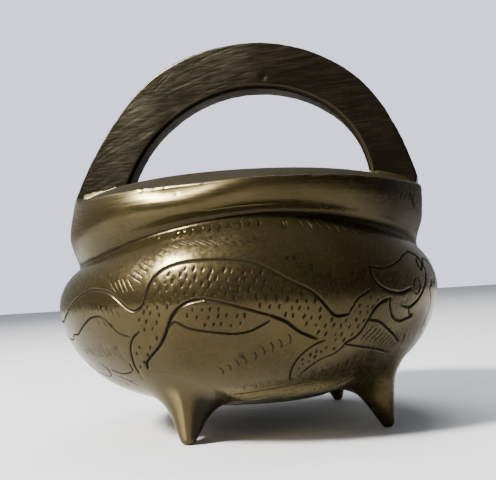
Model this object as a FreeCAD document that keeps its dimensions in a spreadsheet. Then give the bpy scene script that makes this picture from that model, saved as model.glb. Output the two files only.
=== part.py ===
import FreeCAD, Part
import Sketcher
import math
import os

os.makedirs("parts", exist_ok=True)

# A small cast brass incense bowl on four cone feet, with one stiff arch handle over its mouth.
# Frame: +Z up, the floor at Z = 0, the bowl's axis on Z, the handle in the XZ plane, front at -Y.

doc = FreeCAD.newDocument("censer")
sheet = doc.addObject("Spreadsheet::Sheet", "sizes")

SIZES = [
    ("belly_radius", 40.0, "widest radius of the belly"),
    ("belly_height", 26.2, "height of the widest line"),
    ("shoulder_curve", 12.6, "radius of the belly's side above the widest line"),
    ("neck_step", 6.6, "how much narrower the neck is than the belly"),
    ("flank_curve", 7.0, "radius of the belly's side just below the widest line"),
    ("flank_turn", 12.0, "degrees that the flank curve turns"),
    ("under_curve", 22.5, "radius of the belly's underside"),
    ("bowl_wall", 2.6, "thickness of the cast bowl"),
    ("collar_step", 1.4, "how far the collar's lower edge stands out over the neck"),
    ("collar_seat", 4.0, "width of the collar's seat on the neck"),
    ("collar_rise", 9.12, "height of the collar's side"),
    ("collar_curve", 9.0, "radius of the collar's bulging side"),
    ("collar_wall", 2.6, "thickness of the collar's side"),
    ("rim_step", 2.5, "how much wider the collar's sharp top edge is than its lower edge"),
    ("ledge_width", 6.9, "width of the sloping ledge inside that edge"),
    ("ledge_rise", 2.8, "height of the ledge's slope"),
    ("ledge_wall", 2.0, "thickness of the collar at its sharp edge"),
    ("lip_width", 2.4, "width of the flat lip round the mouth"),
    ("lip_thick", 2.8, "thickness of the lip at the mouth"),
    ("neck_bead", 0.9, "radius of the braze bead in the neck groove"),
    ("handle_rise", 35.0, "height of the handle above the collar's edge"),
    ("handle_thick", 8.6, "thickness of the handle from front to back"),
    ("bar_height", 9.5, "depth of the handle's bar at the crown"),
    ("leg_width", 8.66, "width of a leg at the collar's edge"),
    ("leg_curve", 53.0, "radius of the legs' outer edges"),
    ("leg_flare", 0.57, "how much tighter the crown is than a circle through the right leg's foot"),
    ("crown_offset", 1.2, "how far the hand-set crown leans towards +X"),
    ("gap_haunch", 0.87, "how much wider the gap's top is than a circle through its left foot"),
    ("gap_side_curve", 21.0, "radius of the gap's sides"),
    ("leg_braze", 1.6, "width and height of the braze fillets at the handle's foot"),
    ("feet_inset", 13.4, "how far the circle of foot tips lies inside the belly"),
    ("feet_offset", 4.0, "how far that circle's centre lies off the axis, towards +X"),
    ("feet_angle", 67.0, "degrees from -Y towards +X of the front right foot"),
    ("foot_splay", 10.0, "degrees that each foot leans out"),
    ("foot_tip", 1.5, "radius of the rounded tip"),
    ("foot_wear", 0.18, "how much of the tip is worn flat"),
    ("foot_slope", 20.0, "degrees from the foot's axis to its side at the tip"),
    ("foot_curve", 200.0, "radius of the foot's slightly hollow side"),
    ("foot_top_drop", 5.8, "how far below the widest line the foot ends, inside the bowl's surface"),
    ("plate_gap", 5.2, "gap between the closing disc and the nearest foot tip"),
    ("plate_thick", 1.2, "thickness of the disc that closes the bowl's underside"),
    ("plate_seat", 2.4, "width of the disc's seat round the casting hole"),
    ("solder_bead", 0.7, "radius of the solder bead round the disc"),
]
for row, (alias, value, meaning) in enumerate(SIZES, 1):
    sheet.set(f"A{row}", meaning)
    sheet.set(f"B{row}", str(value))
    sheet.setAlias(f"B{row}", alias)
doc.recompute()

# Places that follow from the sizes, worked out in a sheet of their own.
places = doc.addObject("Spreadsheet::Sheet", "places")
PLACES = [
    ("shoulder_centre", "sizes.belly_radius - sizes.shoulder_curve"),
    ("neck_radius", "sizes.belly_radius - sizes.neck_step"),
    (
        "neck_height",
        "sizes.belly_height + sqrt(sizes.shoulder_curve^2 - (neck_radius - shoulder_centre)^2)",
    ),
    ("flank_centre", "sizes.belly_radius - sizes.flank_curve"),
    ("flank_end_x", "flank_centre + sizes.flank_curve * cos(sizes.flank_turn)"),
    ("flank_end_z", "sizes.belly_height - sizes.flank_curve * sin(sizes.flank_turn)"),
    ("under_centre_x", "flank_end_x - sizes.under_curve * cos(sizes.flank_turn)"),
    ("under_centre_z", "flank_end_z + sizes.under_curve * sin(sizes.flank_turn)"),
    ("feet_radius", "sizes.belly_radius - sizes.feet_inset"),
    ("plate_radius", "feet_radius - sizes.feet_offset - sizes.plate_gap"),
    ("core_radius", "plate_radius - sizes.plate_seat"),
    (
        "base_height",
        "under_centre_z - sqrt(sizes.under_curve^2 - (plate_radius - under_centre_x)^2)",
    ),
    ("neck_bore", "neck_radius - sizes.bowl_wall"),
    ("inner_shoulder", "sizes.shoulder_curve - sizes.bowl_wall"),
    ("inner_flank", "sizes.flank_curve - sizes.bowl_wall"),
    ("inner_under", "sizes.under_curve - sizes.bowl_wall"),
    ("inner_belly", "sizes.belly_radius - sizes.bowl_wall"),
    ("inner_flank_x", "flank_centre + inner_flank * cos(sizes.flank_turn)"),
    ("inner_flank_z", "sizes.belly_height - inner_flank * sin(sizes.flank_turn)"),
    (
        "inner_neck_z",
        "sizes.belly_height + sqrt(inner_shoulder^2 - (neck_bore - shoulder_centre)^2)",
    ),
    ("core_top", "under_centre_z - sqrt(inner_under^2 - (core_radius - under_centre_x)^2)"),
    ("collar_foot", "neck_radius + sizes.collar_step"),
    ("collar_bore", "collar_foot - sizes.collar_seat"),
    ("rim_radius", "collar_foot + sizes.rim_step"),
    ("rim_height", "neck_height + sizes.collar_rise"),
    ("inner_collar", "sizes.collar_curve - sizes.collar_wall"),
    ("under_ledge_x", "rim_radius - sizes.collar_wall"),
    ("under_ledge_z", "rim_height - sizes.ledge_wall"),
    ("lip_radius", "rim_radius - sizes.ledge_width"),
    ("lip_height", "rim_height + sizes.ledge_rise"),
    ("mouth_radius", "lip_radius - sizes.lip_width"),
    ("under_lip_z", "lip_height - sizes.lip_thick"),
    ("bead_centre", "(neck_radius + collar_foot) / 2"),
    ("handle_top", "rim_height + sizes.handle_rise"),
    ("leg_foot", "sqrt(rim_radius^2 - (sizes.handle_thick / 2)^2)"),
    ("crown_reach", "leg_foot - sizes.crown_offset"),
    (
        "crown_curve",
        "(crown_reach^2 + sizes.handle_rise^2) / (2 * sizes.handle_rise) - sizes.leg_flare",
    ),
    ("crown_centre_z", "handle_top - crown_curve"),
    ("gap_foot", "leg_foot - sizes.leg_width"),
    ("gap_reach", "gap_foot + sizes.crown_offset"),
    ("gap_rise", "sizes.handle_rise - sizes.bar_height"),
    ("gap_crown_curve", "(gap_reach^2 + gap_rise^2) / (2 * gap_rise) + sizes.gap_haunch"),
    ("gap_centre_z", "rim_height + gap_rise - gap_crown_curve"),
    ("tip_height", "sizes.foot_tip - sizes.foot_wear"),
    ("side_foot_x", "sizes.foot_tip * cos(sizes.foot_slope)"),
    ("side_foot_z", "-sizes.foot_tip * sin(sizes.foot_slope)"),
    (
        "side_top_z",
        "(sizes.belly_height - sizes.foot_top_drop - tip_height) / cos(sizes.foot_splay)",
    ),
    ("side_turn", "asin(sin(sizes.foot_slope) + (side_top_z - side_foot_z) / sizes.foot_curve)"),
    (
        "side_top_x",
        "side_foot_x + sizes.foot_curve * (cos(sizes.foot_slope) - cos(side_turn))",
    ),
]
for row, (alias, formula) in enumerate(PLACES, 1):
    places.set(f"A{row}", alias.replace("_", " "))
    places.set(f"B{row}", "=" + formula)
    places.setAlias(f"B{row}", alias)
doc.recompute()

SHEETS = {alias: sheet for alias, value, meaning in SIZES}
SHEETS.update({alias: places for alias, formula in PLACES})


def number(alias):
    """The value of a size or place."""
    value = SHEETS[alias].get(alias)
    return float(getattr(value, "Value", value))


def cell(alias):
    """The expression that binds a property to a size or place."""
    return f"{SHEETS[alias].Name}.{alias}"


def new_body(name):
    body = doc.addObject("PartDesign::Body", name)
    body.Label = name
    return body


def new_sketch(body, name):
    """A sketch in the body's own XZ plane: its X is the frame's X, its Y is the frame's Z."""
    sketch = body.newObject("Sketcher::SketchObject", name)
    plane = next(f for f in body.Origin.OriginFeatures if f.Role == "XZ_Plane")
    sketch.AttachmentSupport = (plane, "")
    sketch.MapMode = "FlatFace"
    doc.recompute()
    return sketch


def bind(sketch, kind, where, alias, sign=1):
    """A sketch dimension bound to a size or place, negative if sign is -1."""
    index = sketch.addConstraint(Sketcher.Constraint(kind, *where, sign * number(alias)))
    sketch.setExpression(f"Constraints[{index}]", cell(alias) if sign > 0 else "-" + cell(alias))


def arc_between(centre, start, end):
    """The arc about centre from start counterclockwise to end."""
    first, last = (math.atan2((p - centre).y, (p - centre).x) for p in (start, end))
    if last < first:
        last += 2 * math.pi
    circle = Part.Circle(centre, FreeCAD.Vector(0, 0, 1), (start - centre).Length)
    return Part.ArcOfCircle(circle, first, last)


def circle_meet(one, one_radius, other, other_radius, side):
    """Where two circles cross, left of the line from one to other if side is 1, right if -1."""
    line = other - one
    along = (line.Length**2 + one_radius**2 - other_radius**2) / (2 * line.Length)
    across = math.sqrt(one_radius**2 - along**2)
    unit = line / line.Length
    return one + unit * along + FreeCAD.Vector(-unit.y, unit.x, 0) * across * side


def draw_outline(sketch, corners, curves):
    """A closed outline through corners. curves holds, for the edge that leaves a corner, an arc's
    radius and 1 if it bows to the left of its chord, -1 if to the right; other edges are straight.
    A corner's place of None is the axis."""
    points = [FreeCAD.Vector(number(x) if x else 0, number(y), 0) for x, y in corners]
    ends = []
    for index, start in enumerate(points):
        end = points[(index + 1) % len(points)]
        if index in curves:
            radius, bow = curves[index]
            centre = circle_meet(start, number(radius), end, number(radius), -bow)
            first, last = (end, start) if bow > 0 else (start, end)
            edge = sketch.addGeometry(arc_between(centre, first, last), False)
            ends.append((edge, 2, 1) if bow > 0 else (edge, 1, 2))
        else:
            edge = sketch.addGeometry(Part.LineSegment(start, end), False)
            ends.append((edge, 1, 2))
    for index, (x, y) in enumerate(corners):
        edge, first, last = ends[index]
        before, before_first, before_last = ends[index - 1]
        sketch.addConstraint(Sketcher.Constraint("Coincident", before, before_last, edge, first))
        if x:
            bind(sketch, "DistanceX", (edge, first), x)
        else:
            sketch.addConstraint(Sketcher.Constraint("PointOnObject", edge, first, -2))
        bind(sketch, "DistanceY", (edge, first), y)
        if index in curves:
            bind(sketch, "Radius", (edge,), curves[index][0])


def turned(name, corners, curves):
    """A body turned about Z from an outline drawn in the XZ plane."""
    body = new_body(name)
    sketch = new_sketch(body, name + "_outline")
    draw_outline(sketch, corners, curves)
    turn = body.newObject("PartDesign::Revolution", name + "_turn")
    turn.Profile = sketch
    turn.ReferenceAxis = (sketch, ["V_Axis"])
    turn.Angle = 360.0
    doc.recompute()
    return body


def cut(name, base, *tools):
    """base with each tool taken away; the last cut carries the name."""
    for count, tool in enumerate(tools, 1):
        step = doc.addObject("Part::Cut", name if count == len(tools) else f"{name}_{count}")
        step.Base = base
        step.Tool = tool
        base = step
    step.Label = name
    doc.recompute()
    return step


def ring(name, radius, height, bead):
    """A round bead laid in a circle about Z."""
    torus = doc.addObject("Part::Torus", name)
    torus.setExpression("Radius1", cell(radius))
    torus.setExpression("Radius2", cell(bead))
    torus.setExpression("Placement.Base.z", cell(height))
    return torus


def draw_arch(sketch, foot_x, crown_z, crown_curve, side_curve):
    """An arch that stands on the rim's height: two side arcs, tangent to a crown arc. Returns, for
    the right and the left side arc, its number and which of its ends is the foot."""
    crown_radius = number(crown_curve)
    side_radius = number(side_curve)
    crown = FreeCAD.Vector(number("crown_offset"), number(crown_z), 0)
    outward = 1 if side_radius > crown_radius else -1
    joints = []
    sides = []
    for right in (1, -1):
        foot = FreeCAD.Vector(right * number(foot_x), number("rim_height"), 0)
        reach = abs(side_radius - crown_radius)
        centre = circle_meet(foot, side_radius, crown, reach, right * outward)
        joint = centre + (crown - centre) / reach * side_radius * outward
        joints.append(joint)
        first, last = (foot, joint) if right > 0 else (joint, foot)
        edge = sketch.addGeometry(arc_between(centre, first, last), False)
        sides.append((edge, 1, 2) if right > 0 else (edge, 2, 1))
    top = sketch.addGeometry(arc_between(crown, *joints), False)
    for (edge, foot_end, joint_end), top_end, right in zip(sides, (1, 2), (1, -1)):
        sketch.addConstraint(Sketcher.Constraint("Tangent", edge, joint_end, top, top_end))
        bind(sketch, "DistanceX", (edge, foot_end), foot_x, right)
        bind(sketch, "DistanceY", (edge, foot_end), "rim_height")
        bind(sketch, "Radius", (edge,), side_curve)
    bind(sketch, "Radius", (top,), crown_curve)
    bind(sketch, "DistanceX", (top, 3), "crown_offset")
    bind(sketch, "DistanceY", (top, 3), crown_z)
    return [(edge, foot_end) for edge, foot_end, joint_end in sides]


# The bowl and the collar as solid blocks, which cut the seats of all that joins them.
bowl_block = turned(
    "bowl_block",
    [
        (None, "base_height"),
        ("plate_radius", "base_height"),
        ("flank_end_x", "flank_end_z"),
        ("belly_radius", "belly_height"),
        ("neck_radius", "neck_height"),
        (None, "neck_height"),
    ],
    {1: ("under_curve", -1), 2: ("flank_curve", -1), 3: ("shoulder_curve", -1)},
)
collar_block = turned(
    "collar_block",
    [
        (None, "neck_height"),
        ("collar_foot", "neck_height"),
        ("rim_radius", "rim_height"),
        ("lip_radius", "lip_height"),
        (None, "lip_height"),
    ],
    {1: ("collar_curve", -1)},
)

# The cast bowl: one wall all round, open at the neck and at the casting hole below.
bowl = turned(
    "bowl",
    [
        ("core_radius", "base_height"),
        ("plate_radius", "base_height"),
        ("flank_end_x", "flank_end_z"),
        ("belly_radius", "belly_height"),
        ("neck_radius", "neck_height"),
        ("neck_bore", "neck_height"),
        ("neck_bore", "inner_neck_z"),
        ("inner_belly", "belly_height"),
        ("inner_flank_x", "inner_flank_z"),
        ("core_radius", "core_top"),
    ],
    {
        1: ("under_curve", -1),
        2: ("flank_curve", -1),
        3: ("shoulder_curve", -1),
        6: ("inner_shoulder", 1),
        7: ("inner_flank", 1),
        8: ("inner_under", 1),
    },
)

# The collar: a bulging band on the neck, with a sloping ledge and a flat lip round the mouth.
collar = turned(
    "collar",
    [
        ("collar_bore", "neck_height"),
        ("collar_foot", "neck_height"),
        ("rim_radius", "rim_height"),
        ("lip_radius", "lip_height"),
        ("mouth_radius", "lip_height"),
        ("mouth_radius", "under_lip_z"),
        ("under_ledge_x", "under_ledge_z"),
    ],
    {1: ("collar_curve", -1), 6: ("inner_collar", 1)},
)

# The handle: a flat arch whose legs sit on the ledge, flush with the collar's edge.
arch = new_body("arch")
arch_outline = new_sketch(arch, "arch_outline")
outer_feet = draw_arch(arch_outline, "leg_foot", "crown_centre_z", "crown_curve", "leg_curve")
gap_feet = draw_arch(
    arch_outline, "gap_foot", "gap_centre_z", "gap_crown_curve", "gap_side_curve"
)
for outer_foot, gap_foot in zip(outer_feet, gap_feet):
    ends = [arch_outline.getPoint(*outer_foot), arch_outline.getPoint(*gap_foot)]
    sole = arch_outline.addGeometry(Part.LineSegment(*ends), False)
    arch_outline.addConstraint(Sketcher.Constraint("Coincident", sole, 1, *outer_foot))
    arch_outline.addConstraint(Sketcher.Constraint("Coincident", sole, 2, *gap_foot))
arch_pad = arch.newObject("PartDesign::Pad", "arch_pad")
arch_pad.Profile = arch_outline
arch_pad.Midplane = True
arch_pad.setExpression("Length", cell("handle_thick"))
doc.recompute()
handle = cut("handle", arch, collar_block)

# The disc that closes the casting hole.
base_disc = doc.addObject("Part::Cylinder", "base_disc")
base_disc.setExpression("Radius", cell("plate_radius"))
base_disc.setExpression("Height", cell("plate_thick"))
base_disc.setExpression("Placement.Base.z", f"{cell('base_height')} - {cell('plate_thick')}")

# The solder bead that fills the corner between the disc's edge and the bowl.
base_ring = ring("base_ring", "plate_radius", "base_height", "solder_bead")
base_solder = cut("base_solder", base_ring, bowl_block, base_disc)

# The floor, as a block below Z = 0 that the feet are worn flat on.
floor = doc.addObject("Part::Box", "floor")
floor.setExpression("Length", f"4 * {cell('belly_radius')}")
floor.setExpression("Width", f"4 * {cell('belly_radius')}")
floor.setExpression("Height", cell("belly_height"))
floor.setExpression("Placement.Base.x", f"-2 * {cell('belly_radius')}")
floor.setExpression("Placement.Base.y", f"-2 * {cell('belly_radius')}")
floor.setExpression("Placement.Base.z", f"-{cell('belly_height')}")

# The four feet: hollow-sided cones about a leaning axis, cut to the bowl above. They stand at the
# corners of a square, whose centre lies off the bowl's axis.
FEET = ["foot_front_right", "foot_rear_right", "foot_rear_left", "foot_front_left"]
feet = []
for quarter, name in enumerate(FEET):
    cone = turned(
        name + "_cone",
        [
            (None, "side_foot_z"),
            ("side_foot_x", "side_foot_z"),
            ("side_top_x", "side_top_z"),
            (None, "side_top_z"),
        ],
        {1: ("foot_curve", 1)},
    )
    tip = doc.addObject("Part::Sphere", name + "_tip")
    tip.setExpression("Radius", cell("foot_tip"))
    foot = doc.addObject("Part::Fuse", name + "_whole")
    foot.Base = cone
    foot.Tool = tip
    angle = f"({cell('feet_angle')} + {90 * quarter})"
    across = f"{cell('feet_offset')} + {cell('feet_radius')} * sin{angle}"
    along = f"-{cell('feet_radius')} * cos{angle}"
    lean = f"rotation({angle} - 90; -{cell('foot_splay')}; 0)"
    foot.setExpression(
        "Placement", f"placement(vector({across}; {along}; {cell('tip_height')}); {lean})"
    )
    feet.append(cut(name, foot, bowl_block, base_disc, base_solder, floor))

# The braze bead that fills the groove between bowl and collar.
neck_ring = ring("neck_ring", "bead_centre", "neck_height", "neck_bead")
neck_braze = cut("neck_braze", neck_ring, bowl_block, collar_block)


def ledge_height(radius):
    """Height of the collar's top at a radius: the sloping ledge, then the flat lip."""
    rise = number("lip_height") - number("rim_height")
    run = number("rim_radius") - number("lip_radius")
    return min(number("lip_height"), number("rim_height") + rise * (number("rim_radius") - radius) / run)


def leg_fillets(name, right):
    """The braze fillets along a leg's front and back face, on the ledge: each is a wedge between
    two triangles, cut to the ledge."""
    width = number("leg_braze")
    face = number("handle_thick") / 2
    fillets = []
    for back in (1, -1):
        triangles = []
        for radius in (number("gap_foot"), number("leg_foot") - width):
            seat = ledge_height(radius)
            corners = [
                FreeCAD.Vector(right * radius, back * face, seat - width),
                FreeCAD.Vector(right * radius, back * face, seat + width),
                FreeCAD.Vector(right * radius, back * (face + 2 * width), seat - width),
            ]
            triangles.append(Part.makePolygon(corners + corners[:1]))
        wedge = Part.makeLoft(triangles, True, True)
        fillets += wedge.cut(collar_block.Shape).Solids
    feature = doc.addObject("Part::Feature", name)
    feature.Label = name
    feature.Shape = Part.makeCompound(fillets)
    return feature


handle_braze_right = leg_fillets("handle_braze_right", 1)
handle_braze_left = leg_fillets("handle_braze_left", -1)
doc.recompute()

PIECES = [
    bowl,
    collar,
    handle,
    *feet,
    base_disc,
    base_solder,
    neck_braze,
    handle_braze_right,
    handle_braze_left,
]
for item in doc.Objects:
    if "Invalid" in item.State or "Error" in item.State:
        raise RuntimeError(f"{item.Label} did not compute: {item.State}")
for piece in PIECES:
    if piece.Shape.isNull() or not piece.Shape.isValid() or not piece.Shape.Solids:
        raise RuntimeError(f"{piece.Label} is not a valid solid")
for piece in PIECES:
    piece.Shape.exportStep(f"parts/{piece.Label}.step")
    print(f"{piece.Label}: {len(piece.Shape.Solids)} solid, {piece.Shape.Volume:.1f} mm3")
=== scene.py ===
"""The looks of a small cast brass incense bowl with a fixed loop handle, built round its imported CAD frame."""
import math

import bmesh
import bpy
import numpy as np
from mathutils import Matrix, Vector
from mathutils.geometry import delaunay_2d_cdt
from mathutils.kdtree import KDTree


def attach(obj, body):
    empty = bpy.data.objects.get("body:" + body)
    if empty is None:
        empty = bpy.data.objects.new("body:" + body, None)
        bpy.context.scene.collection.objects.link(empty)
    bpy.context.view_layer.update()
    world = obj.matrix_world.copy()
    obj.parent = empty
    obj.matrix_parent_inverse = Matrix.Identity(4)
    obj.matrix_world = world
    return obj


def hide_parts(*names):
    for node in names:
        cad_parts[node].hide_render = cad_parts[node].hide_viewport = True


MM = 0.001
UP = np.array([0.0, 0.0, 1.0])
SCENE = bpy.context.scene

# The belly, in millimetres: arcs above, just below and well below its widest line.
BELLY_RADIUS = 40.0
BELLY_HEIGHT = 26.2
FLANK_CURVE = 7.0
FLANK_TURN = math.radians(12.0)
UNDER_CURVE = 22.5
BASE_HEIGHT = 6.93
BASE_HOLE = 15.0
BOWL_WALL = 2.6
FLANK_CENTRE = BELLY_RADIUS - FLANK_CURVE
UNDER_CENTRE = FLANK_CENTRE + (FLANK_CURVE - UNDER_CURVE) * math.cos(FLANK_TURN)
UNDER_TOP = BELLY_HEIGHT + (UNDER_CURVE - FLANK_CURVE) * math.sin(FLANK_TURN)
BASE_TURN = math.asin((UNDER_TOP - BASE_HEIGHT) / UNDER_CURVE)
BASE_REACH = -(FLANK_CURVE * FLANK_TURN + (BASE_TURN - FLANK_TURN) * UNDER_CURVE)

# The groove between belly and collar swings up over the front and the back and dips at the legs.
CREASE_RADIUS = 34.4
CREASE_HEIGHT = 34.3
CREASE_SWING = 6.5
CREASE_TUCK = 1.1
CREASE_CENTRE = 21.0

# The collar's edges.
RIM_RADIUS = 37.3
RIM_HEIGHT = 46.4
LIP_RADIUS = 30.41
LIP_HEIGHT = 49.2
MOUTH_RADIUS = 28.0
LIP_WIDTH = LIP_RADIUS - MOUTH_RADIUS

# The handle: each edge is a circle about a centre on the XZ plane, with a flare at the legs.
HANDLE_THICK = 8.6
HALF_THICK = HANDLE_THICK / 2.0
OUTER_CORNER = 0.4
INNER_CORNER = 1.2
ARCH_CENTRE = (1.2, 46.1)
ARCH_RADIUS = 35.35
GAP_CENTRE = (1.2, 41.1)
GAP_RADIUS = 30.5
GAP_START = -79.5
GAP_SWEEP = 157.5

# The feet stand at the corners of a square, whose centre lies off the axis.
FEET_CENTRE = 4.0
FEET_RADIUS = 26.6
FEET_ANGLE = 67.0


def spin(angle, along, across):
    """A flat step turned anticlockwise by an angle in degrees."""
    turn = np.radians(angle)
    return along * np.cos(turn) - across * np.sin(turn), along * np.sin(turn) + across * np.cos(turn)


def bell(angle, centre, spread):
    """A smooth bump over azimuth, in degrees, that wraps round the circle."""
    turn = (np.asarray(angle, float) - centre + 180.0) % 360.0 - 180.0
    return np.exp(-((turn / spread) ** 2))


def ease(low, high, value):
    """A smooth step over a value, from 0 at low to 1 at high."""
    part = np.clip((value - low) / (high - low), 0.0, 1.0)
    return part * part * (3.0 - 2.0 * part)


class Ripples:
    """Smooth seeded noise over points, about -1 to 1, made of waves with lengths from low to high."""

    def __init__(self, seed, low, high, count=24, stretch=(1.0, 1.0, 1.0)):
        random = np.random.RandomState(seed)
        ways = random.normal(size=(count, 3))
        ways /= np.linalg.norm(ways, axis=1)[:, None]
        lengths = np.exp(random.uniform(math.log(low), math.log(high), count))
        self.waves = 2.0 * math.pi * ways / lengths[:, None] / np.array(stretch)
        self.phases = random.uniform(0.0, 2.0 * math.pi, count)

    def __call__(self, points):
        return np.sin(points @ self.waves.T + self.phases).sum(-1) * math.sqrt(0.5 / len(self.phases))


def polar(azimuth, radius, height):
    """Points from azimuth in degrees (0 faces -Y, 90 faces +X), radius and height."""
    turn = np.radians(azimuth)
    return np.stack([radius * np.sin(turn), -radius * np.cos(turn), height + 0.0 * turn], -1)


def grid_faces(rows, columns, wrap_rows=False, wrap_columns=False, first=0):
    """Quads over points that lie row by row."""
    row = np.arange(rows if wrap_rows else rows - 1)
    column = np.arange(columns if wrap_columns else columns - 1)
    row, column = [part.ravel() for part in np.meshgrid(row, column, indexing="ij")]
    next_row = (row + 1) % rows
    next_column = (column + 1) % columns
    corners = (
        row * columns + column,
        row * columns + next_column,
        next_row * columns + next_column,
        next_row * columns + column,
    )
    return (np.stack(corners, -1) + first).tolist()


def end_caps(rows, columns, first=0):
    """The faces that close both ends of a tube whose rings lie row by row."""
    last = first + (rows - 1) * columns
    return [tuple(range(first, first + columns)), tuple(range(last, last + columns))[::-1]]


def tree_of(points):
    """A search tree over points."""
    tree = KDTree(len(points))
    for index, spot in enumerate(points.tolist()):
        tree.insert(spot, index)
    tree.balance()
    return tree


def make_piece(name, points, faces, material, nodes=(), dirt_shade_and_sheen=None):
    """A smooth-shaded piece from points in millimetres, in place of the CAD nodes.

    The last argument is a value for each point, which its material reads: dirt and painted shade above 0,
    rubbed metal and painted highlights below.
    """
    places = np.asarray(points).reshape(-1, 3) * MM
    mesh = bpy.data.meshes.new(name)
    mesh.from_pydata(places.tolist(), [], faces)
    shape = bmesh.new()
    shape.from_mesh(mesh)
    bmesh.ops.remove_doubles(shape, verts=shape.verts, dist=1e-7)
    bmesh.ops.recalc_face_normals(shape, faces=shape.faces)
    for face in shape.faces:
        face.smooth = True
    shape.to_mesh(mesh)
    shape.free()
    piece = bpy.data.objects.new(name, mesh)
    SCENE.collection.objects.link(piece)
    mesh.materials.append(material)
    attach(piece, "root")
    if nodes:
        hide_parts(*nodes)
    if dirt_shade_and_sheen is not None:
        # merged points have new numbers, so each value is found again by place
        tree = tree_of(places)
        values = np.asarray(dirt_shade_and_sheen, float).ravel()
        layer = mesh.attributes.new("dirt_shade_and_sheen", "FLOAT", "POINT")
        layer.data.foreach_set("value", [values[tree.find(vertex.co)[1]] for vertex in mesh.vertices])
    return piece


# The bowl's skin.


def crease_swing(azimuth):
    """1 where the groove is highest, over the front and the back, and 0 where it is lowest."""
    return np.cos(np.radians(np.asarray(azimuth, float) - CREASE_CENTRE)) ** 2


def crease(azimuth):
    """Radius and height of the groove between belly and collar."""
    swing = crease_swing(azimuth)
    radius = CREASE_RADIUS - CREASE_TUCK * swing
    radius = radius + 1.7 * bell(azimuth, 98.0, 28.0) + 0.5 * bell(azimuth, -72.0, 24.0)
    return radius, CREASE_HEIGHT + CREASE_SWING * swing


def shoulder(azimuth):
    """Radius and length of the belly's arc between the widest line and the crease."""
    radius, height = crease(azimuth)
    across = BELLY_RADIUS - radius
    rise = height - BELLY_HEIGHT
    curve = (across * across + rise * rise) / (2.0 * across)
    return curve, curve * np.arcsin(rise / curve)


def belly(azimuth, reach):
    """Point and outward normal of the smooth belly at a reach along its side, up from the widest line."""
    azimuth, reach = np.broadcast_arrays(np.asarray(azimuth, float), np.asarray(reach, float))
    curve = shoulder(azimuth)[0]
    above = reach >= 0.0
    flank = ~above & (-reach / FLANK_CURVE < FLANK_TURN)

    def pick(upper, middle, lower):
        return np.select([above, flank], [upper, middle], lower)

    under_turn = (reach + FLANK_CURVE * FLANK_TURN) / UNDER_CURVE - FLANK_TURN
    turn = pick(reach / curve, reach / FLANK_CURVE, under_turn)
    size = pick(curve, FLANK_CURVE, UNDER_CURVE)
    radius = pick(BELLY_RADIUS - curve, FLANK_CENTRE, UNDER_CENTRE) + size * np.cos(turn)
    height = pick(BELLY_HEIGHT, BELLY_HEIGHT, UNDER_TOP) + size * np.sin(turn)
    return polar(azimuth, radius, height), polar(azimuth, np.cos(turn), np.sin(turn))


dents = Ripples(11, 9.0, 30.0)


def unevenness(points):
    """How far hand finishing left the belly off its smooth shape, in millimetres."""
    return 0.06 * dents(points) - 0.08


def belly_skin(azimuth, reach):
    """The belly as hand finishing left it: points, and normals of the smooth shape."""
    points, normals = belly(azimuth, reach)
    return points + normals * unevenness(points)[..., None], normals


# The engraving. Each line is a width, a depth and points (azimuth in degrees, reach in millimetres).

DRAGON_LINES = [
    (0.25, 0.20, [(-62, -1.8), (-55, -2.4), (-50.5, -1.8), (-45.8, -0.6), (-40.3, 1.4), (-34.7, 2.9),
        (-30.4, 3.4), (-24.6, 2.9), (-21.1, 1.9), (-18.6, 0.6), (-16.5, -0.5), (-14.7, -0.9), (-12.6, -0.2),
        (-11.4, 1.2), (-9.5, 4.2), (-7.4, 5.6), (-4.8, 6.4), (-1.1, 6.9), (3.8, 7.0), (10.5, 6.7),
        (17.6, 5.5), (24.3, 2.6), (30.1, 0.3), (34.4, -3.0), (36.0, -3.8), (37.6, -3.9), (39.5, -3.7)]),
    (0.17, 0.12, [(39.5, -3.7), (40.6, -2.4), (42.1, -1.0), (46.2, 0.4)]),
    (0.19, 0.14, [(-62, -1.8), (-63, -3.4), (-58, -5.6), (-50, -6.2), (-45.4, -5.0), (-42, -4.9),
        (-38.8, -4.0), (-34.4, -2.6), (-31.0, -1.7), (-27.4, -1.5), (-25.1, -2.1), (-23.5, -3.3),
        (-21.3, -4.7), (-18.6, -5.4)]),
    (0.22, 0.17, [(-14.6, -4.6), (-17.1, -5.7), (-19.1, -7.4), (-20.4, -9.5), (-21.5, -12.1), (-21.9, -15.4),
        (-22.2, -18.8)]),
    (0.32, 0.27, [(-17.1, -12.3), (-16.3, -11.0), (-13.8, -9.6), (-9.7, -7.4), (-7.2, -5.3), (-5.6, -3.4),
        (-4.2, -1.9), (-2.0, -0.6), (0.6, 0.2), (3.8, 0.4)]),
    (0.20, 0.15, [(3.8, 0.4), (9.0, -0.5), (15.8, -2.1), (19.5, -3.0)]),
    (0.28, 0.22, [(19.5, -3.0), (23.1, -4.2), (26.6, -6.2), (31.4, -7.9)]),
    (0.21, 0.13, [(-6.2, -4.3), (-3.8, -3.2), (-0.3, -4.5), (6.0, -5.4), (10.6, -5.8), (14.3, -5.5),
        (16.3, -4.9), (19.0, -4.0)]),
    (0.21, 0.16, [(33.7, -8.3), (30.8, -9.1), (28.1, -10.7), (26.4, -12.4), (25.6, -14.5), (25.8, -16.9),
        (26.8, -17.4)]),
    (0.19, 0.14, [(28.3, -16.3), (30.7, -14.1), (33.8, -12.3), (37.4, -11.3), (39.4, -10.2)]),
    (0.25, 0.20, [(39.4, -10.2), (40.4, -9.2), (43.0, -8.2), (44.7, -6.9), (46.0, -5.0), (47.8, -3.0),
        (50.3, -1.9), (53.0, -1.6)]),
    (0.24, 0.19, [(46.4, -5.1), (50.1, -5.7), (54.5, -7.5), (61.9, -10.4)]),
    (0.21, 0.16, [(40.6, -9.6), (46.7, -10.6), (53.0, -11.6), (59.0, -12.7), (63.3, -12.4), (64.6, -10.8),
        (63.9, -9.0)]),
]
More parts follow.
